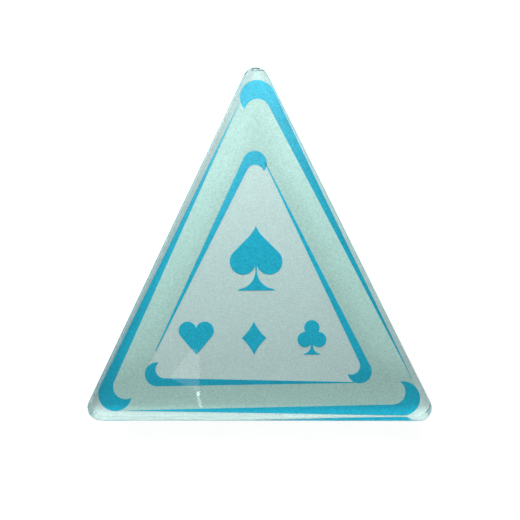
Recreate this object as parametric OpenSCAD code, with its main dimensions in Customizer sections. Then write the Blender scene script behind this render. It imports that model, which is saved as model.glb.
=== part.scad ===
// All-in marker of the dealer button family: a flat triangular paperweight of clear acrylic.
// Two clear blocks are bonded face to face with a printed card sealed between them.
// Units are millimetres. The print faces +Z, the apex points to +Y.
// The origin is the centre of the footprint, on the table.

/* [Block] */
// width across the base, outside the rounded corners
body_w = 76; // [50:0.5:100]
// length from the base edge to the rounded apex
body_l = 77.5; // [50:0.5:100]
// total thickness of the finished button
body_t = 20; // [8:0.5:30]
// radius of the three upright corners
corner_r = 2.9; // [1:0.1:8]
// width of the small polished 45 degree edge break on both faces
arris = 0.2; // [0.1:0.1:1.5]

/* [Insert] */
// thickness of the printed card
card_t = 0.5; // [0.2:0.1:2]
// thickness of each clear bond film between card and block
film_t = 0.2; // [0.15:0.05:0.6]
// thickness of the ink, which stands in a pocket of the film
ink_t = 0.08; // [0.04:0.02:0.12]

/* [Outer frame, each list is for the right, base and left stroke] */
// gap from the side wall to the thick end of each stroke
outer_gap = [0.45, 0.2, 0.33];
// width of each stroke where it leaves its hook
outer_stroke = [2.35, 2.45, 2.43];
// width of each hook across its bend
outer_bend = [2.45, 2.4, 2.7];
// how much farther each hook stands from the wall it curls back to
outer_lean = [0, 1.0, 0.8];
// outside radius of each hook
outer_hook_r = 3.83; // [2:0.01:8]
// inside radius of each hook
outer_hook_in = 2.83; // [1:0.01:6]
// gap from the side wall to the hairline end of each stroke
outer_tip_gap = 1.25; // [0.5:0.05:3]
// gap from the next wall to the hairline end of each stroke
outer_tip_stop = 8.4; // [4:0.1:14]
// width of the hairline end
outer_hair = 0.1; // [0.06:0.01:0.5]
// sideways offset of the outer frame on the card
outer_shift = -0.1; // [-1:0.05:1]

/* [Inner frame, the list is for the right, base and left stroke] */
// gap from the leg walls to the thick end of each leg stroke
inner_leg_gap = 7.85; // [5:0.05:14]
// gap from the base wall to the thick end of the base stroke
inner_base_gap = 6.75; // [5:0.05:14]
// width of a stroke where it leaves its hook
inner_stroke = 1.85; // [0.5:0.05:4]
// width of each hook across its bend
inner_bend = [2.0, 1.75, 1.7];
// outside radius of each hook
inner_hook_r = 2.72; // [1:0.02:6]
// inside radius of each hook
inner_hook_in = 2.0; // [0.5:0.02:5]
// how much farther the base hooks stand from the wall they curl back to
inner_lean = 0.65; // [0:0.05:2]
// how much farther the apex hook stands from the wall it curls back to
inner_lean_top = 0.25; // [0:0.05:2]
// how far each stroke's hairline end lies inside its thick end
inner_tip_gap = 0.85; // [0.3:0.05:2]
// distance of the hairline end from the next side of the inner frame
inner_tip_stop = 4.8; // [2:0.1:12]
// the same for the left stroke, which stops short of its hook
inner_tip_stop_left = 8; // [2:0.1:12]
// width of the hairline end
inner_hair = 0.2; // [0.06:0.01:0.5]
// sideways offset of the inner frame, the spade and the pips on the card
inner_shift = -0.6; // [-2:0.05:2]

/* [Mint band] */
// outside corner radius, hidden under the outer hooks
band_r = 3.1; // [1:0.1:6]
// inside corner radius, hidden under the inner hooks
band_in_r = 2.1; // [0.5:0.1:5]

/* [Spade] */
// height of the tip above the card's centre
spade_top = 4.05; // [0:0.05:8]
// radius of each side lobe
lobe_r = 2.95; // [1:0.05:6]
// half the distance between the lobe centres
lobe_x = 2.97; // [1:0.01:6]
// height of the lobe centres
lobe_y = -3.87; // [-8:0.01:4]
// where the shoulder turns from straight to hollow, from the middle
shoulder_x = 1.6; // [0.5:0.1:3]
// half width of the stem at its waist
stem_half = 0.17; // [0.1:0.01:0.6]
// radius of the hollow on each side of the foot
foot_r = 4.2; // [2:0.1:8]
// half width of the foot
foot_half = 4.05; // [1:0.05:6]
// height of the stem's waist
foot_y = -5.89; // [-10:0.01:0]
// height of the flat underside of the foot
spade_base = -10.4; // [-14:0.05:-6]

/* [Pip row] */
// height of the three pips
pip_h = 7.5; // [3:0.1:12]
// distance between pip centres
pip_pitch = 13; // [6:0.1:16]
// height of the row's middle line
pip_y = -21.1; // [-30:0.1:-10]
// sideways offset of the row
pip_x = -0.6; // [-4:0.1:4]

/* [Hidden] */
$fn = 96;
// straight edges sit this much inside the arcs they run into
seat = 0.004;
// a stroke's taper reaches this far back into its hook
lap = 0.4;
// middle heights of the layers, counted from the table
mid_z = body_t / 2;
block_t = (body_t - card_t - 2 * film_t) / 2;
card_z = mid_z - card_t / 2;
// corner circle centres of the footprint
foot_cx = body_w / 2 - corner_r;
foot_cy = -body_l / 2 + corner_r;
apex_cy = body_l / 2 - corner_r;
// half the angle at the apex, which is also the slope of the leg normals
apex_half = atan(foot_cx / (apex_cy - foot_cy));
// the three walls as [normal angle, distance from the origin]
RIGHT = [apex_half, apex_cy * sin(apex_half) + corner_r];
LEFT = [180 - apex_half, apex_cy * sin(apex_half) + corner_r];
BASE = [-90, body_l / 2];

BLUE = [0.1, 0.62, 0.77];
MINT = [0.72, 0.88, 0.82];
PEARL = [0.84, 0.87, 0.87];
CLEAR = [0.85, 0.95, 0.93, 0.35];

// ---- plane geometry ----

function dir(a) = [cos(a), sin(a)];
function turn(v) = [-v[1], v[0]];

// the point that lies d1 inside wall w1 and d2 inside wall w2
function inside(w1, d1, w2, d2) =
    let(n1 = dir(w1[0]), n2 = dir(w2[0]), c1 = w1[1] - d1, c2 = w2[1] - d2,
        det = n1[0] * n2[1] - n1[1] * n2[0])
    [(c1 * n2[1] - c2 * n1[1]) / det, (c2 * n1[0] - c1 * n2[0]) / det];

// where the line from point p touches the circle at c, on the side of turn sense s
function touch(p, c, r, s) =
    let(v = p - c, a = atan2(v[1], v[0]) + s * acos(r / norm(v)))
    c + r * dir(a);

// the points in their own order for s > 0, or reversed, so that every outline runs one way
function ccw(s, p) = s > 0 ? p : [for (i = [len(p) - 1:-1:0]) p[i]];

// triangle with round corners, inset d_leg from the legs and d_base from the base
module round_triangle(d_leg, d_base, r) {
    a = inside(RIGHT, d_leg + r, LEFT, d_leg + r);
    b = inside(RIGHT, d_leg + r, BASE, d_base + r);
    c = [-b[0], b[1]];
    for (p = [a, b, c]) translate(p) circle(r);
    q = r - seat;
    polygon([a + q * dir(RIGHT[0]), a + q * dir(LEFT[0]), c + q * dir(LEFT[0]),
        c + q * dir(BASE[0]), b + q * dir(BASE[0]), b + q * dir(RIGHT[0])]);
}

// ---- clear blocks ----

// round upright corner with its broken top edge
module corner_post(c) {
    translate([c[0], c[1], 0]) cylinder(h = block_t - arris, r = corner_r);
    translate([c[0], c[1], block_t - arris])
        cylinder(h = arris, r1 = corner_r, r2 = corner_r - arris);
}

// straight stretch along wall w between two corners, with its broken top edge
module wall_slab(w, length, middle) {
    out = w[1] - seat;
    rotate(w[0]) translate([0, middle + length / 2, 0]) rotate([90, 0, 0])
        linear_extrude(length)
            polygon([[w[1] - 1.5 * corner_r, 0], [out, 0], [out, block_t - arris],
                [out - arris, block_t], [w[1] - 1.5 * corner_r, block_t]]);
}

// one block with its bonded face at z = 0 and its broken edge on top
module clear_block() {
    // each leg's length between corner centres, and its middle along the wall
    leg = norm([foot_cx, apex_cy - foot_cy]);
    leg_mid = ([foot_cx, foot_cy + apex_cy] / 2) * turn(dir(RIGHT[0]));
    for (c = [[0, apex_cy], [foot_cx, foot_cy], [-foot_cx, foot_cy]]) corner_post(c);
    wall_slab(RIGHT, leg, leg_mid);
    wall_slab(LEFT, leg, -leg_mid);
    wall_slab(BASE, 2 * foot_cx, 0);
    linear_extrude(block_t)
        polygon([[0, apex_cy], [-foot_cx, foot_cy], [foot_cx, foot_cy]]);
}

// ---- frame strokes ----

// One stroke: a hook of two circles at the corner of walls w and o, then a taper along w.
// s is the turn sense, +1 clockwise round the frame and -1 the other way.
// width is measured beside wall w, and bend across the hook beside wall o.
// The hairline end lies stop inside the far wall e.
module stroke(w, gw, o, go, e, ge, s, width, bend, hair, r_out, r_in, lean, tip_gap, stop) {
    c_out = inside(w, gw + r_out, o, go + r_out + lean);
    c_in = inside(w, gw + width + r_in, o, go + bend + r_in + lean);
    tip = inside(w, gw + tip_gap, e, ge + stop);
    n = dir(w[0]);
    t_out = touch(tip + hair / 2 * n, c_out, r_out - seat, s);
    t_in = touch(tip - hair / 2 * n, c_in, r_in - seat, s);
    along = -s * turn(n);
    cut = (t_out + lap * along - t_in) / norm(t_out + lap * along - t_in);
    intersection() {
        difference() {
            translate(c_out) circle(r_out);
            translate(c_in) circle(r_in);
        }
        polygon(ccw(s, [t_in - 2 * r_out * cut, t_in + 2 * r_out * cut,
            t_in + 2 * r_out * cut - 3 * r_out * along,
            t_in - 2 * r_out * cut - 3 * r_out * along]));
    }
    polygon(ccw(-s, [t_out, tip + hair / 2 * n, tip - hair / 2 * n, t_in - lap * along,
        (t_out + t_in) / 2 - lap * along]));
}

// k picks the stroke from the lists: 0 right, 1 base, 2 left
module outer_stroke_2d(k, w, o, e) {
    gap = outer_gap[k];
    translate([outer_shift, 0])
        stroke(w, gap, o, gap, e, 0, 1, outer_stroke[k], outer_bend[k], outer_hair,
            outer_hook_r, outer_hook_in, outer_lean[k], outer_tip_gap - gap, outer_tip_stop);
}

module inner_stroke_2d(k, w, gw, o, go, e, ge, lean, stop) {
    translate([inner_shift, 0])
        stroke(w, gw, o, go, e, ge, -1, inner_stroke, inner_bend[k], inner_hair,
            inner_hook_r, inner_hook_in, lean, inner_tip_gap, stop);
}

module outer_right_2d() { outer_stroke_2d(0, RIGHT, LEFT, BASE); }
module outer_base_2d() { outer_stroke_2d(1, BASE, RIGHT, LEFT); }
module outer_left_2d() { outer_stroke_2d(2, LEFT, BASE, RIGHT); }

module inner_left_2d() {
    inner_stroke_2d(2, LEFT, inner_leg_gap, RIGHT, inner_leg_gap, BASE, inner_base_gap,
        inner_lean_top, inner_tip_stop_left);
}
module inner_base_2d() {
    inner_stroke_2d(1, BASE, inner_base_gap, LEFT, inner_leg_gap, RIGHT, inner_leg_gap,
        inner_lean, inner_tip_stop);
}
module inner_right_2d() {
    inner_stroke_2d(0, RIGHT, inner_leg_gap, BASE, inner_base_gap, LEFT, inner_leg_gap,
        inner_lean, inner_tip_stop);
}

module all_strokes_2d() {
    outer_right_2d();
    outer_base_2d();
    outer_left_2d();
    inner_left_2d();
    inner_base_2d();
    inner_right_2d();
}

// the band fills the space between the two frames and ends under their middle lines
module whole_band_2d() {
    difference() {
        translate([outer_shift, 0])
            round_triangle(outer_tip_gap, outer_tip_gap, band_r);
        translate([inner_shift, 0])
            round_triangle(inner_leg_gap + inner_tip_gap, inner_base_gap + inner_tip_gap,
                band_in_r);
    }
}

module band_2d() {
    difference() {
        whole_band_2d();
        all_strokes_2d();
    }
}

// ---- suit pips ----

// straight stem that runs into the foot
module stem(half, y0, y1) {
    translate([-half, y0]) square([2 * half, y1 - y0]);
}

// hollow-sided foot shared by the spade and the club
module foot_2d(waist, r, half, y_waist, y_base) {
    difference() {
        translate([-half, y_base]) square([2 * half, y_waist - y_base]);
        for (k = [-1, 1]) translate([k * (waist + r), y_waist]) circle(r);
    }
}

module spade_2d() {
    edge = (lobe_r - seat) * dir(135);
    tip = [0, spade_top];
    // the straight shoulder leaves the lobe at 45 degrees and ends at bend
    bend = [-shoulder_x, lobe_y + edge[1] + lobe_x - edge[0] - shoulder_x];
    v = tip - bend;
    lean = 137;
    hollow = (v * v) / (2 * (v * dir(lean)));
    translate([inner_shift, 0]) {
        for (k = [-1, 1]) translate([k * lobe_x, lobe_y]) circle(lobe_r);
        difference() {
            polygon([[lobe_x, lobe_y], [lobe_x - edge[0], lobe_y + edge[1]],
                [-bend[0], bend[1]], tip, bend, [-lobe_x, lobe_y] + edge, [-lobe_x, lobe_y]]);
            for (k = [-1, 1]) {
                c = bend + hollow * dir(lean);
                translate([k * c[0], c[1]]) circle(hollow);
            }
        }
        stem(stem_half + 0.01, foot_y - 0.4, lobe_y);
        foot_2d(stem_half, foot_r, foot_half, foot_y, spade_base);
    }
}

module heart_2d() {
    r = pip_h * 0.272;
    x = pip_h * 0.258;
    y = pip_h * 0.228;
    tip = [0, -pip_h / 2];
    right = touch(tip, [x, y], r - seat, 1);
    for (k = [-1, 1]) translate([k * x, y]) circle(r);
    polygon([tip, right, [x, y], [-x, y], [-right[0], right[1]]]);
}

module diamond_2d() {
    half_h = pip_h / 2;
    half_w = pip_h * 0.37;
    side = norm([half_w, half_h]);
    hollow = pip_h * 1.5;
    out = sqrt(hollow * hollow - side * side / 4);
    normal = atan2(half_w, half_h);
    difference() {
        polygon([[0, half_h], [-half_w, 0], [0, -half_h], [half_w, 0]]);
        for (a = [normal, 180 - normal, 180 + normal, -normal])
            translate([half_w / 2 * sign(cos(a)), half_h / 2 * sign(sin(a))] + out * dir(a))
                circle(hollow);
    }
}

module club_2d() {
    r = pip_h * 0.23;
    for (a = [90, 210, 330]) translate([0, pip_h * 0.07] + pip_h * 0.235 * dir(a)) circle(r);
    translate([0, pip_h * 0.07]) circle(r * 0.62);
    stem(pip_h * 0.03 + 0.01, -pip_h * 0.3, 0);
    foot_2d(pip_h * 0.03, pip_h * 0.26, pip_h * 0.25, -pip_h * 0.22, -pip_h / 2);
}

module at_pip(k) {
    translate([inner_shift + pip_x + k * pip_pitch, pip_y]) children();
}

module all_pips_2d() {
    at_pip(-1) heart_2d();
    at_pip(0) diamond_2d();
    at_pip(1) club_2d();
}

// ---- layers ----

// the whole pocket that the ink leaves in the film
module ink_2d() {
    whole_band_2d();
    all_strokes_2d();
    spade_2d();
    all_pips_2d();
}

// film with its card side at z = 0
module bond_film() {
    difference() {
        linear_extrude(film_t) round_triangle(0, 0, corner_r);
        linear_extrude(ink_t) ink_2d();
    }
}

// puts a layer on the card's front face
module on_front() { translate([0, 0, mid_z + card_t / 2]) children(); }
// puts the same layer on the back face, turned over about the Y axis
module on_back() { translate([0, 0, mid_z - card_t / 2]) rotate([0, 180, 0]) children(); }
module ink() { linear_extrude(ink_t) children(); }

// ---- sub-parts ----

module lower_block() {
    color(CLEAR) translate([0, 0, block_t]) rotate([0, 180, 0]) clear_block();
}
module lower_bond_film() { color(CLEAR) on_back() bond_film(); }
module insert_card() {
    color(PEARL) translate([0, 0, card_z]) linear_extrude(card_t) round_triangle(0, 0, corner_r);
}
module upper_bond_film() { color(CLEAR) on_front() bond_film(); }
module upper_block() { color(CLEAR) translate([0, 0, body_t - block_t]) clear_block(); }

module front_mint_band() { color(MINT) on_front() ink() band_2d(); }
module front_outer_stroke_right() { color(BLUE) on_front() ink() outer_right_2d(); }
module front_outer_stroke_base() { color(BLUE) on_front() ink() outer_base_2d(); }
module front_outer_stroke_left() { color(BLUE) on_front() ink() outer_left_2d(); }
module front_inner_stroke_left() { color(BLUE) on_front() ink() inner_left_2d(); }
module front_inner_stroke_base() { color(BLUE) on_front() ink() inner_base_2d(); }
module front_inner_stroke_right() { color(BLUE) on_front() ink() inner_right_2d(); }
module front_spade() { color(BLUE) on_front() ink() spade_2d(); }
module front_heart() { color(BLUE) on_front() ink() at_pip(-1) heart_2d(); }
module front_diamond() { color(BLUE) on_front() ink() at_pip(0) diamond_2d(); }
module front_club() { color(BLUE) on_front() ink() at_pip(1) club_2d(); }

module back_mint_band() { color(MINT) on_back() ink() band_2d(); }
module back_outer_stroke_right() { color(BLUE) on_back() ink() outer_right_2d(); }
module back_outer_stroke_base() { color(BLUE) on_back() ink() outer_base_2d(); }
module back_outer_stroke_left() { color(BLUE) on_back() ink() outer_left_2d(); }
module back_inner_stroke_left() { color(BLUE) on_back() ink() inner_left_2d(); }
module back_inner_stroke_base() { color(BLUE) on_back() ink() inner_base_2d(); }
module back_inner_stroke_right() { color(BLUE) on_back() ink() inner_right_2d(); }
module back_spade() { color(BLUE) on_back() ink() spade_2d(); }
module back_heart() { color(BLUE) on_back() ink() at_pip(-1) heart_2d(); }
module back_diamond() { color(BLUE) on_back() ink() at_pip(0) diamond_2d(); }
module back_club() { color(BLUE) on_back() ink() at_pip(1) club_2d(); }

lower_block();
lower_bond_film();
insert_card();
upper_bond_film();
upper_block();
front_mint_band();
front_outer_stroke_right();
front_outer_stroke_base();
front_outer_stroke_left();
front_inner_stroke_left();
front_inner_stroke_base();
front_inner_stroke_right();
front_spade();
front_heart();
front_diamond();
front_club();
back_mint_band();
back_outer_stroke_right();
back_outer_stroke_base();
back_outer_stroke_left();
back_inner_stroke_left();
back_inner_stroke_base();
back_inner_stroke_right();
back_spade();
back_heart();
back_diamond();
back_club();
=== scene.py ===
"""Looks for the triangular clear acrylic marker: two polished blocks bonded round a printed card.

All lengths are metres in the CAD frame: +Z up through the printed face, +Y towards the apex.
"""

import math
import random

import bmesh
import bpy
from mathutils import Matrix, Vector


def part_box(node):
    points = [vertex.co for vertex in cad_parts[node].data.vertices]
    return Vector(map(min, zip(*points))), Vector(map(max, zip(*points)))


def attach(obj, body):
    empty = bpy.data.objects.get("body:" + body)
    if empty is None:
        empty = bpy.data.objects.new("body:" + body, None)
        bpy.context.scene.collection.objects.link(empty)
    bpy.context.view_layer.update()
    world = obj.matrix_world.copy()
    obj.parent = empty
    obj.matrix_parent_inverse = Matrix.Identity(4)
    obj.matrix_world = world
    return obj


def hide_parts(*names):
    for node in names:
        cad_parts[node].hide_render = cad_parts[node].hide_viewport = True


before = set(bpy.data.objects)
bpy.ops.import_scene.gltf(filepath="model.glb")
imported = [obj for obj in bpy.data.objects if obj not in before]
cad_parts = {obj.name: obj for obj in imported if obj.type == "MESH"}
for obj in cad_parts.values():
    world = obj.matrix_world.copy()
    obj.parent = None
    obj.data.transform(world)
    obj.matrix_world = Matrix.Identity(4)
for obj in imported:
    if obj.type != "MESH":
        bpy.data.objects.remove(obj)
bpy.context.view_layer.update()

MM = 0.001
random.seed(7)

# ---- sizes, from the frame ----
BLOCK_LO, BLOCK_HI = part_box("upper_block")
LOWER_LO, LOWER_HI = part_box("lower_block")
CARD_LO, CARD_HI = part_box("insert_card")
CORNER_R = 2.9 * MM
# the broken edge round each outer face, and the rounding at its two rims
ARRIS = 0.2 * MM
ARRIS_ROUND = 0.08 * MM
ARC_STEPS = 20
# glass and film reach this far into the card, so that no two surfaces lie in one plane
EMBED = 0.02 * MM
SEAM_INSET = 0.01 * MM
FILM_INSET = 0.03 * MM

# corner circle centres, anticlockwise from the apex
CENTRES = [
    Vector((0.0, BLOCK_HI.y - CORNER_R)),
    Vector((BLOCK_LO.x + CORNER_R, BLOCK_LO.y + CORNER_R)),
    Vector((BLOCK_HI.x - CORNER_R, BLOCK_LO.y + CORNER_R)),
]

# the right wall faces LEG_NORMAL and stands LEG_REACH from the origin; the left wall mirrors it
RIGHT_SIDE = CENTRES[2] - CENTRES[0]
LEG_NORMAL = Vector((-RIGHT_SIDE.y, RIGHT_SIDE.x)).normalized()
LEG_REACH = CENTRES[0].dot(LEG_NORMAL) + CORNER_R


# ---- meshes ----

def outline(inset):
    """The rounded triangle, anticlockwise, its sides moved in by inset."""
    radius = CORNER_R - inset
    points = []
    for i, centre in enumerate(CENTRES):
        before, after = CENTRES[i - 1], CENTRES[(i + 1) % 3]
        side_in, side_out = centre - before, after - centre
        start = math.atan2(-side_in.x, side_in.y)
        end = math.atan2(-side_out.x, side_out.y)
        while end < start:
            end += 2 * math.pi
        for k in range(ARC_STEPS + 1):
            angle = start + (end - start) * k / ARC_STEPS
            points.append(centre + radius * Vector((math.cos(angle), math.sin(angle))))
    return points


def broken_edge(z_face, sign):
    """(inset, z) pairs up one wall and over its broken edge onto the face at z_face."""
    tangent = ARRIS_ROUND * math.tan(math.radians(22.5))
    low = (ARRIS_ROUND, -ARRIS - tangent)
    high = (ARRIS + tangent, -ARRIS_ROUND)
    pairs = [(0.0, -ARRIS - 0.5 * MM)]
    for (x, z), turn in ((low, 0), (high, 45)):
        for step in range(4):
            angle = math.radians(turn + 15 * step)
            pairs.append((x - ARRIS_ROUND * math.cos(angle), z + ARRIS_ROUND * math.sin(angle)))
    pairs.append((ARRIS + 0.6 * MM, 0.0))
    return [(inset, z_face + sign * z) for inset, z in pairs]


def add_piece(name, mesh):
    """An object in the scene made of a finished bmesh."""
    data = bpy.data.meshes.new(name)
    mesh.to_mesh(data)
    mesh.free()
    piece = bpy.data.objects.new(name, data)
    bpy.context.scene.collection.objects.link(piece)
    return piece


def loft(name, profile):
    """A closed solid from rings of the outline, profile being its (inset, z) pairs upwards."""
    mesh = bmesh.new()
    rings = []
    for inset, z in profile:
        rings.append([mesh.verts.new((p.x, p.y, z)) for p in outline(inset)])
    count = len(rings[0])
    for low, high in zip(rings, rings[1:]):
        for k in range(count):
            n = (k + 1) % count
            mesh.faces.new((low[k], low[n], high[n], high[k]))
    mesh.faces.new(list(reversed(rings[0])))
    mesh.faces.new(rings[-1])
    # smooth walls, flat caps with a sharp rim
    for face in mesh.faces:
        face.smooth = len(face.verts) == 4
        if not face.smooth:
            for edge in face.edges:
                edge.smooth = False
    return add_piece(name, mesh)


def add_block(name, z_seam, z_face):
    """A clear block: square edge at the bonded face, broken edge at the outer face."""
    sign = 1 if z_face > z_seam else -1
    rings = [(SEAM_INSET, z_seam)] + broken_edge(z_face, sign)
    if sign < 0:
        rings.reverse()
    return loft(name, rings)


def add_sheet(name, inset, z_lo, z_hi):
    """A square-edged layer between two heights."""
    return loft(name, [(inset, z_lo), (inset, z_hi)])


def add_bubble(name, centre, radii):
    """A tiny air void in the glass: a squashed ball with its faces turned inwards."""
    mesh = bmesh.new()
    bmesh.ops.create_uvsphere(mesh, u_segments=16, v_segments=10, radius=1.0)
    for vert in mesh.verts:
        vert.co = Vector([c + r * part for c, r, part in zip(centre, radii, vert.co)])
    bmesh.ops.reverse_faces(mesh, faces=mesh.faces)
    for face in mesh.faces:
        face.smooth = True
    return add_piece(name, mesh)


def seam_bubbles(count):
    """Bubbles caught above the seam, just inside the base wall."""
    made = []
    for i in range(count):
        centre = (random.uniform(-30, 30) * MM,
                  BLOCK_LO.y + random.uniform(0.25, 0.9) * MM,
                  CARD_HI.z + random.uniform(0.35, 0.9) * MM)
        radii = (random.uniform(0.07, 0.16) * MM,
                 random.uniform(0.06, 0.12) * MM,
                 random.uniform(0.05, 0.09) * MM)
        made.append(add_bubble(f"seam_bubble_{i + 1}", centre, radii))
    return made


upper = add_block("upper_block_clear", CARD_HI.z - EMBED, BLOCK_HI.z)
lower = add_block("lower_block_clear", CARD_LO.z + EMBED, LOWER_LO.z)
card = add_sheet("card_sheet", 0.0, CARD_LO.z, CARD_HI.z)
upper_film = add_sheet("upper_film_clear", FILM_INSET, CARD_HI.z - EMBED / 2, BLOCK_LO.z)
lower_film = add_sheet("lower_film_clear", FILM_INSET, LOWER_HI.z, CARD_LO.z + EMBED / 2)
bubbles = seam_bubbles(7)


# ---- node helpers ----

class Nodes:
    """Short ways to add nodes to one node tree."""

    def __init__(self, tree):
        self.tree = tree

    def add(self, kind):
        return self.tree.nodes.new(kind)

    def link(self, source, target):
        self.tree.links.new(source, target)

    def fill(self, socket, value):
        """A number or a colour set on a socket, or an output linked to it."""
        if isinstance(value, (int, float)):
            socket.default_value = value
        elif isinstance(value, tuple):
            socket.default_value = (*value, 1.0)
        else:
            self.link(value, socket)

    def maths(self, kind, a, b=0.0):
        node = self.add("ShaderNodeMath")
        node.operation = kind
        self.fill(node.inputs[0], a)
        self.fill(node.inputs[1], b)
        return node.outputs[0]

    def product(self, first, *others):
        for other in others:
            first = self.maths("MULTIPLY", first, other)
        return first

    def less(self, share):
        """What is left of 1 when share is taken away."""
        return self.maths("SUBTRACT", 1.0, share)

    def span(self, value, from_lo, from_hi, to_lo, to_hi, smooth=False):
        """value mapped from one range to another, held at its ends."""
        node = self.add("ShaderNodeMapRange")
        if smooth:
            node.interpolation_type = "SMOOTHSTEP"
        self.link(value, node.inputs["Value"])
        for key_name, number in (("From Min", from_lo), ("From Max", from_hi),
                                 ("To Min", to_lo), ("To Max", to_hi)):
            node.inputs[key_name].default_value = number
        return node.outputs["Result"]

    def parts(self, vector):
        """The x, y and z parts of a vector, or red, green and blue of a colour."""
        node = self.add("ShaderNodeSeparateXYZ")
        self.link(vector, node.inputs[0])
        return node.outputs

    def diffuse_depth(self):
        """How many times a ray has bounced off a matt surface so far."""
        return self.add("ShaderNodeLightPath").outputs["Diffuse Depth"]


class Shade(Nodes):
    """A material under construction; x, y and z are the parts of the place being shaded."""

    def __init__(self, name):
        self.material = bpy.data.materials.new(name)
        self.material.use_nodes = True
        super().__init__(self.material.node_tree)
        self.tree.nodes.clear()
        self.out = self.add("ShaderNodeOutputMaterial")
        self.surface = self.add("ShaderNodeBsdfPrincipled")
        self.place = self.add("ShaderNodeTexCoord").outputs["Object"]
        self.x, self.y, self.z = self.parts(self.place)
        self.link(self.surface.outputs[0], self.out.inputs["Surface"])

    def set(self, name, value):
        """Give one socket of the surface a number, a colour or an output."""
        self.fill(self.surface.inputs[name], value)

    def noise(self, size, detail=2.0, rough=0.5):
        """Noise with features about size across."""
        node = self.add("ShaderNodeTexNoise")
        self.link(self.place, node.inputs["Vector"])
        node.inputs["Scale"].default_value = 1.0 / size
        node.inputs["Detail"].default_value = detail
        node.inputs["Roughness"].default_value = rough
        return node.outputs["Fac"]

    def spread(self, noise, to_lo, to_hi):
        """Noise stretched so that its usual range runs from to_lo to to_hi."""
        return self.span(noise, 0.3, 0.7, to_lo, to_hi)

    def cells(self, size):
        """A random value for each cell about size across."""
        node = self.add("ShaderNodeTexVoronoi")
        self.link(self.place, node.inputs["Vector"])
        node.inputs["Scale"].default_value = 1.0 / size
        return self.parts(node.outputs["Color"])[0]

    def flatness(self):
        """1 on a level surface and 0 on an upright one."""
        normal = self.add("ShaderNodeNewGeometry").outputs["Normal"]
        return self.maths("ABSOLUTE", self.parts(normal)[2])

    def toward_leg(self, x):
        """How far out a place lies towards a long wall, x being counted towards that wall."""
        return self.maths("ADD", self.product(x, LEG_NORMAL.x), self.product(self.y, LEG_NORMAL.y))

    def toward_legs(self):
        """How far out a place lies towards the nearer of the two long walls."""
        return self.toward_leg(self.maths("ABSOLUTE", self.x))

    def blend(self, factor, a, b, kind="MIX"):
        node = self.add("ShaderNodeMix")
        node.data_type = "RGBA"
        node.blend_type = kind
        # a colour mix keeps its factor and its two colours in these sockets
        for socket, value in ((0, factor), (6, a), (7, b)):
            self.fill(node.inputs[socket], value)
        return node.outputs[2]

    def bump(self, height, distance, strength):
        node = self.add("ShaderNodeBump")
        node.inputs["Strength"].default_value = strength
        node.inputs["Distance"].default_value = distance
        self.link(height, node.inputs["Height"])
        self.set("Normal", node.outputs[0])

    def let_lamps_through(self, tint):
        """Lamp light reaches what lies inside the glass, tinted."""
        through = self.add("ShaderNodeBsdfTransparent")
        through.inputs["Color"].default_value = (*tint, 1.0)
        path = self.add("ShaderNodeLightPath")
        mix = self.add("ShaderNodeMixShader")
        self.link(path.outputs["Is Shadow Ray"], mix.inputs[0])
        self.link(self.surface.outputs[0], mix.inputs[1])
        self.link(through.outputs[0], mix.inputs[2])
        self.link(mix.outputs[0], self.out.inputs["Surface"])


# ---- printed card and inks ----

# a whitish painted reflection, blended faintly into the print towards the apex
PAINTED_VEIL = (0.8, 0.9, 0.95)
PRINT_IOR = 1.12


def grain_tone(s, far, grain, sparkle):
    """Fine and coarse grain, a slow mottle and bright pearl specks; far strengthens the grain."""
    swing = s.product(s.spread(s.noise(0.3 * MM, 3.0, 0.75), -grain, grain),
                      s.span(far, 0.0, 1.0, 1.0, 1.3))
    fine = s.maths("ADD", swing, 1.0)
    coarse = s.spread(s.noise(0.7 * MM, 3.0, 0.6), 1 - 0.17 * grain, 1 + 0.17 * grain)
    slow = s.spread(s.noise(14 * MM), 0.985, 1.015)
    speck = s.span(s.cells(0.2 * MM), 0.96, 1.0, 0.0, sparkle)
    return s.maths("ADD", s.product(fine, coarse, slow), speck)


def length_tone(s, lift, base_edge_light, base_darkening):
    """Tone along the length: darker over the band near the base, brighter at the base edge, where
    painted light stands for light coming in through the base wall, and shifted lighter at the apex
    end (darker for a share below zero).
    """
    return s.product(s.span(s.y, -25 * MM, -31 * MM, 1.0, 1.0 - base_darkening),
                     # painted light: the print brightens next to the base wall, where light comes in
                     # through it
                     s.span(s.y, -36.0 * MM, -37.8 * MM, 1.0, 1.0 + base_edge_light),
                     s.span(s.y, 18 * MM, 34 * MM, 1.0, 1.0 + lift))


def inner_tone(s, depth):
    """Darker by depth towards the two long strokes of the inner frame."""
    near = s.span(s.toward_legs(), LEG_REACH - 7.8 * MM, LEG_REACH - 4.3 * MM, depth, 0.0)
    above_base = s.span(s.y, -31 * MM, -26 * MM, 0.0, 1.0)
    return s.less(s.product(near, above_base))


def right_tone(s, depth):
    """Darker by depth beside the right wall, between its two corners."""
    near = s.span(s.toward_leg(s.x), LEG_REACH - 7 * MM, LEG_REACH - 4 * MM, 0.0, depth)
    above_base = s.span(s.y, -29 * MM, -22 * MM, 0.0, 1.0)
    below_apex = s.span(s.y, 30 * MM, 35 * MM, 1.0, 0.0)
    return s.less(s.product(near, above_base, below_apex))


def wall_tone(s, shadow):
    """Shade close to the two side walls, deeper on the left."""
    beside = s.span(s.toward_legs(), LEG_REACH - 1.8 * MM, LEG_REACH - 0.9 * MM, 0.0, 1.0)
    depth = s.span(s.x, -10 * MM, 10 * MM, 0.27 * shadow, 0.10 * shadow)
    return s.less(s.product(beside, depth))


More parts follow.
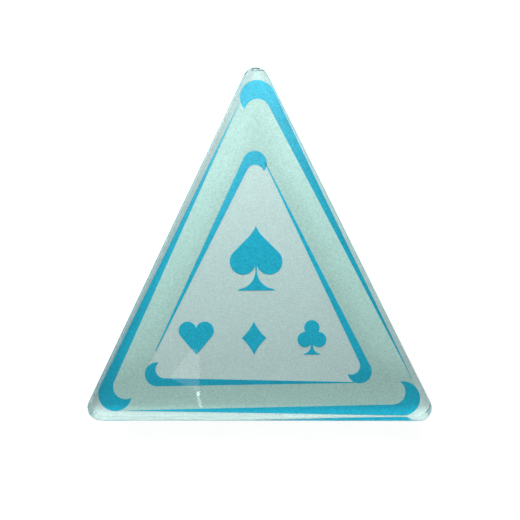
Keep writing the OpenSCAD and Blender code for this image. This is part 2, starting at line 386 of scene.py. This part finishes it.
def printed(name, colour, worn, grain, sparkle, lift, base_edge_light,
            base_darkening=0.0, inner=0.0, right=0.0, shadow=1.0):
    """Ink or pearl card under the acrylic. worn is how dark its worn patches get."""
    s = Shade(name)
    far = s.span(s.y, 0.0, 32 * MM, 0.0, 1.0)
    # the cut edge of the card is paler than its faces, and painted light makes upright faces paler
    # still
    pale_edge_and_light = s.span(s.flatness(), 0.2, 0.5, 1.7, 1.0)
    tone = s.product(grain_tone(s, far, grain, sparkle), length_tone(s, lift, base_edge_light, base_darkening),
                     wall_tone(s, shadow), pale_edge_and_light)
    if inner:
        tone = s.product(tone, inner_tone(s, inner))
    if right:
        tone = s.product(tone, right_tone(s, right))
    patches = s.span(s.noise(6 * MM, 4.0), 0.45, 0.75, 0.0, 0.35)
    base = s.blend(patches, colour, tuple(worn * part for part in colour))
    toned = s.blend(1.0, base, tone, "MULTIPLY")
    # painted reflection: towards the apex the print is mixed a little with a whitish veil colour
    s.set("Base Color", s.blend(s.product(far, 0.03), toned, PAINTED_VEIL))
    s.set("Roughness", s.spread(s.noise(0.6 * MM), 0.45, 0.62))
    s.set("IOR", PRINT_IOR)
    s.bump(s.noise(0.3 * MM, 3.0), 0.004 * MM, 0.5)
    return s.material


# ---- clear acrylic and film ----

ACRYLIC_TINT = (0.97, 1.0, 0.99)
ACRYLIC_IOR = 1.49
# painted shade: the satin walls are tinted darker, so less light passes through them
SATIN_SHADE_TINT = (0.62, 0.72, 0.70)
CRACK_TINT = (0.01, 0.014, 0.014)

# hairline cracks and chips: arc centre and radius in mm, middle angle and spread in degrees,
# half width in mm, and depth of tone
SCRATCHES = [
    ((0.3, 18.0), 20.0, 89.6, 4.6, 0.14, 0.9),
    ((0.0, 35.85), 2.62, 92.0, 24.0, 0.26, 1.0),
    ((0.0, 35.85), 2.72, 141.0, 15.0, 0.22, 0.9),
    ((0.0, 35.85), 2.7, 48.0, 10.0, 0.15, 0.7),
    ((34.45, -34.4), 3.24, -29.0, 27.0, 0.14, 1.0),
    ((34.6, -34.2), 2.7, -36.0, 20.0, 0.1, 0.4),
    ((-35.1, -35.85), 2.6, 166.0, 16.0, 0.5, 0.6),
]


def arc_mark(s, centre, radius, middle, spread, width):
    """1 along a thin arc round centre, spread degrees either side of the middle angle, fading out."""
    across = s.maths("SUBTRACT", s.x, centre[0] * MM)
    along = s.maths("SUBTRACT", s.y, centre[1] * MM)
    reach = s.maths("SQRT", s.maths("ADD", s.product(across, across), s.product(along, along)))
    offset = s.maths("ABSOLUTE", s.maths("SUBTRACT", reach, radius * MM))
    line = s.span(offset, 0.3 * width * MM, width * MM, 1.0, 0.0)
    toward = math.radians(middle)
    forward = s.maths("ADD", s.product(across, math.cos(toward)), s.product(along, math.sin(toward)))
    cosine = s.maths("DIVIDE", forward, reach)
    limit = math.cos(math.radians(spread))
    return s.product(line, s.span(cosine, limit, 0.6 * limit + 0.4, 0.0, 1.0))


def crack_mask(s):
    """1 in the cracks and chips of the upper block's top face, broken up by noise."""
    marks = 0.0
    for centre, radius, middle, spread, width, depth in SCRATCHES:
        mark = s.product(arc_mark(s, centre, radius, middle, spread, width), depth)
        marks = s.maths("MAXIMUM", mark, marks)
    broken = s.span(s.noise(0.45 * MM, 4.0, 0.7), 0.40, 0.52, 0.5, 1.0)
    on_top = s.span(s.z, BLOCK_HI.z - 0.5 * MM, BLOCK_HI.z - 0.4 * MM, 0.0, 1.0)
    return s.product(marks, broken, on_top)


def satin_mask(s):
    """1 on the two long walls and the corners, which are left satin; 0 on the polished base wall."""
    upright = s.span(s.flatness(), 0.9, 0.97, 1.0, 0.0)
    return s.product(upright, s.span(s.y, -38.5 * MM, -37.0 * MM, 0.0, 1.0))


def clear(name):
    """Polished acrylic: faint flow waves and smudges, satin side walls tinted darker as painted
    shade, chipped corners.
    """
    s = Shade(name)
    satin = satin_mask(s)
    smudge = s.span(s.noise(9 * MM, 4.0, 0.6), 0.5, 0.72, 0.018, 0.034)
    satin_rough = s.spread(s.noise(1.1 * MM, 3.0), 0.55, 0.75)
    # painted shade: the satin walls get the darker tint
    body = s.blend(satin, ACRYLIC_TINT, SATIN_SHADE_TINT)
    s.set("Base Color", s.blend(crack_mask(s), body, CRACK_TINT))
    s.set("Roughness", s.maths("ADD", smudge, s.product(satin, satin_rough)))
    s.set("Transmission Weight", 1.0)
    s.set("IOR", ACRYLIC_IOR)
    s.bump(s.noise(7 * MM, 1.0), 0.01 * MM, 0.25)
    s.let_lamps_through((0.94, 0.97, 0.96))
    return s.material


def film_clear(name):
    """Cured adhesive inside the acrylic, with the same index, so it doesn't bend light there."""
    s = Shade(name)
    s.set("Base Color", (0.985, 1.0, 0.995))
    s.set("Transmission Weight", 1.0)
    s.set("IOR", 1.0)
    s.set("Roughness", 0.0)
    s.let_lamps_through((1.0, 1.0, 1.0))
    return s.material


acrylic = clear("clear_acrylic")
film_material = film_clear("bond_film")
pearl_card = printed("pearl_card", (0.458, 0.568, 0.558), worn=0.95, grain=0.17, sparkle=0.11,
                     lift=0.0, base_edge_light=0.34)
mint_ink = printed("mint_ink", (0.40, 0.58, 0.54), worn=0.95, grain=0.18, sparkle=0.11,
                   lift=-0.09, base_edge_light=0.38, base_darkening=0.17, inner=0.12)
blue_ink = printed("blue_ink", (0.015, 0.35, 0.50), worn=0.93, grain=0.25, sparkle=0.08,
                   lift=0.14, base_edge_light=0.4, base_darkening=0.13, right=0.1, shadow=0.35)


# ---- pieces on their body ----

def paint(piece, material):
    piece.data.materials.clear()
    piece.data.materials.append(material)


for piece, node, material, slot_name in (
    (upper, "upper_block", acrylic, "clear_acrylic"),
    (lower, "lower_block", acrylic, "clear_acrylic"),
    (card, "insert_card", pearl_card, "pearl_card"),
    (upper_film, "upper_bond_film", film_material, "bond_film"),
    (lower_film, "lower_bond_film", film_material, "bond_film"),
):
    paint(piece, material)
    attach(piece, "root")
    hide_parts(node)

for piece in bubbles:
    paint(piece, acrylic)
    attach(piece, "root")

for name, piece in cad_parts.items():
    if name.startswith(("front_", "back_")):
        paint(piece, mint_ink if "mint" in name else blue_ink)


# ---- stage ----

WHITE = (1.0, 1.0, 1.0)
FLOOR_SIZE = 3.0
FLOOR_DROP = 0.05 * MM
FLOOR_GLOW = 0.9
# the share of its glow that the floor below the marker gives to the print
GLOW_BELOW = 0.7


def floor_glow(s):
    """The floor glows to the eye and through the glass; only the part below lights the print."""
    seen = s.maths("LESS_THAN", s.diffuse_depth(), 0.5)
    inside_legs = s.span(s.toward_legs(), LEG_REACH - 3 * MM, LEG_REACH, 1.0, 0.0)
    inside_base = s.span(s.y, BLOCK_LO.y, BLOCK_LO.y + 3 * MM, 0.0, 1.0)
    below = s.product(inside_legs, inside_base, GLOW_BELOW)
    return s.product(s.maths("MAXIMUM", seen, below), FLOOR_GLOW)


def pale_floor():
    s = Shade("pale_floor")
    mottle = s.spread(s.noise(30 * MM, 3.0), 0.0, 1.0)
    s.set("Base Color", s.blend(mottle, (0.48, 0.485, 0.485), (0.52, 0.52, 0.52)))
    s.set("Roughness", 0.75)
    s.set("Specular IOR Level", 0.2)
    s.set("Emission Color", WHITE)
    s.set("Emission Strength", floor_glow(s))
    return s.material


bpy.ops.mesh.primitive_grid_add(x_subdivisions=8, y_subdivisions=8, size=FLOOR_SIZE,
                                location=(0, 0, -FLOOR_DROP))
floor = bpy.context.object
floor.name = "floor"
paint(floor, pale_floor())


# ---- studio world ----

# strength straight up, at the horizon, and of the skylight
CEILING, WALLS, SKYLIGHT = 0.08, 0.8, 1.2
# the share of the world's light lost after a bounce off a matt surface
BOUNCE_LOSS = 0.8


def studio_world():
    """Pale walls round a dim ceiling, with a soft skylight beyond the apex and to its left."""
    world = bpy.data.worlds.new("studio")
    bpy.context.scene.world = world
    world.use_nodes = True
    sky = Nodes(world.node_tree)
    background = world.node_tree.nodes["Background"]
    background.inputs["Color"].default_value = (0.96, 0.985, 1.0, 1.0)
    x, y, height = sky.parts(sky.add("ShaderNodeTexCoord").outputs["Generated"])
    # from the walls' strength at the horizon down to the ceiling's straight up
    level = sky.maths("POWER", sky.less(sky.product(height, height)), 4.0)
    glow = sky.maths("ADD", sky.product(level, WALLS - CEILING), CEILING)
    # the apex end of the top face mirrors the skylight faintly
    toward = sky.maths("SUBTRACT", sky.product(y, 0.8), sky.product(x, 0.6))
    beyond = sky.span(toward, 0.0, 0.12, 0.0, SKYLIGHT, smooth=True)
    overhead = sky.maths("POWER", sky.maths("MAXIMUM", height, 0.0), 30.0)
    glow = sky.maths("ADD", glow, sky.product(overhead, beyond))
    bounced = sky.maths("GREATER_THAN", sky.diffuse_depth(), 0.5)
    kept = sky.less(sky.product(bounced, BOUNCE_LOSS))
    sky.link(sky.product(glow, kept), background.inputs["Strength"])


studio_world()


# ---- lamps ----

def soft_light(name, place, target, size, power):
    """A rectangular softbox at place, aimed at target and hidden from the camera."""
    data = bpy.data.lights.new(name, "AREA")
    data.shape = "RECTANGLE"
    data.size, data.size_y = size
    data.energy = power
    lamp = bpy.data.objects.new(name, data)
    lamp.location = place
    lamp.rotation_euler = (Vector(target) - Vector(place)).to_track_quat("-Z", "Y").to_euler()
    lamp.visible_camera = False
    lamp.visible_transmission = False
    bpy.context.scene.collection.objects.link(lamp)
    return lamp


soft_light("key_softbox", (-0.02, 0.10, 0.12), (0, 0.03, 0), (0.14, 0.08), 0.29)

# small lamps above, mirrored in the top face near the left of the base: place, size, turn and power
LAMP_Z = 0.304
HIGHLIGHTS = {
    "spark_lamp_upper": ((-0.0416, -0.0762), (1.6 * MM, 2.3 * MM), 0, 1.3e-4),
    "spark_lamp_lower": ((-0.0409, -0.0803), (1.6 * MM, 5.0 * MM), 20, 1.2e-4),
}
for lamp_name, ((x, y), lamp_size, turn, power) in HIGHLIGHTS.items():
    lamp = soft_light(lamp_name, (x, y, LAMP_Z), (x, y, 0), lamp_size, power)
    lamp.rotation_euler.z += math.radians(turn)

# corners in mm of a kite of glowing studio fabric beside them, mirrored as a faint veil
VEIL = [(-41.0, -75.6), (-40.9, -57.0), (-43.9, -56.0), (-54.2, -69.2)]


def veil_fabric():
    s = Shade("veil_fabric")
    s.set("Base Color", (0.0, 0.0, 0.0))
    s.set("Emission Color", WHITE)
    s.set("Emission Strength", s.spread(s.noise(6 * MM), 1.3, 1.8))
    return s.material


veil_mesh = bpy.data.meshes.new("veil_panel")
veil_mesh.from_pydata([(x * MM, y * MM, LAMP_Z) for x, y in VEIL], [], [(0, 1, 2, 3)])
veil = bpy.data.objects.new("veil_panel", veil_mesh)
bpy.context.scene.collection.objects.link(veil)
paint(veil, veil_fabric())
# only mirrors see it
veil.visible_camera = False
veil.visible_transmission = False
veil.visible_diffuse = False
veil.visible_shadow = False


# ---- camera ----

CAMERA_PLACE = (0.0150, 0.01085, 0.3038)
# degrees about x, y and z, from looking straight down
CAMERA_TURN = (-2.86, 2.88, -0.44)

camera_data = bpy.data.cameras.new("camera")
camera_data.lens = 90
camera_data.clip_start = 0.01
camera = bpy.data.objects.new("camera", camera_data)
camera.location = CAMERA_PLACE
camera.rotation_euler = [math.radians(angle) for angle in CAMERA_TURN]
bpy.context.scene.collection.objects.link(camera)
bpy.context.scene.camera = camera
bpy.context.scene.view_settings.view_transform = "Standard"
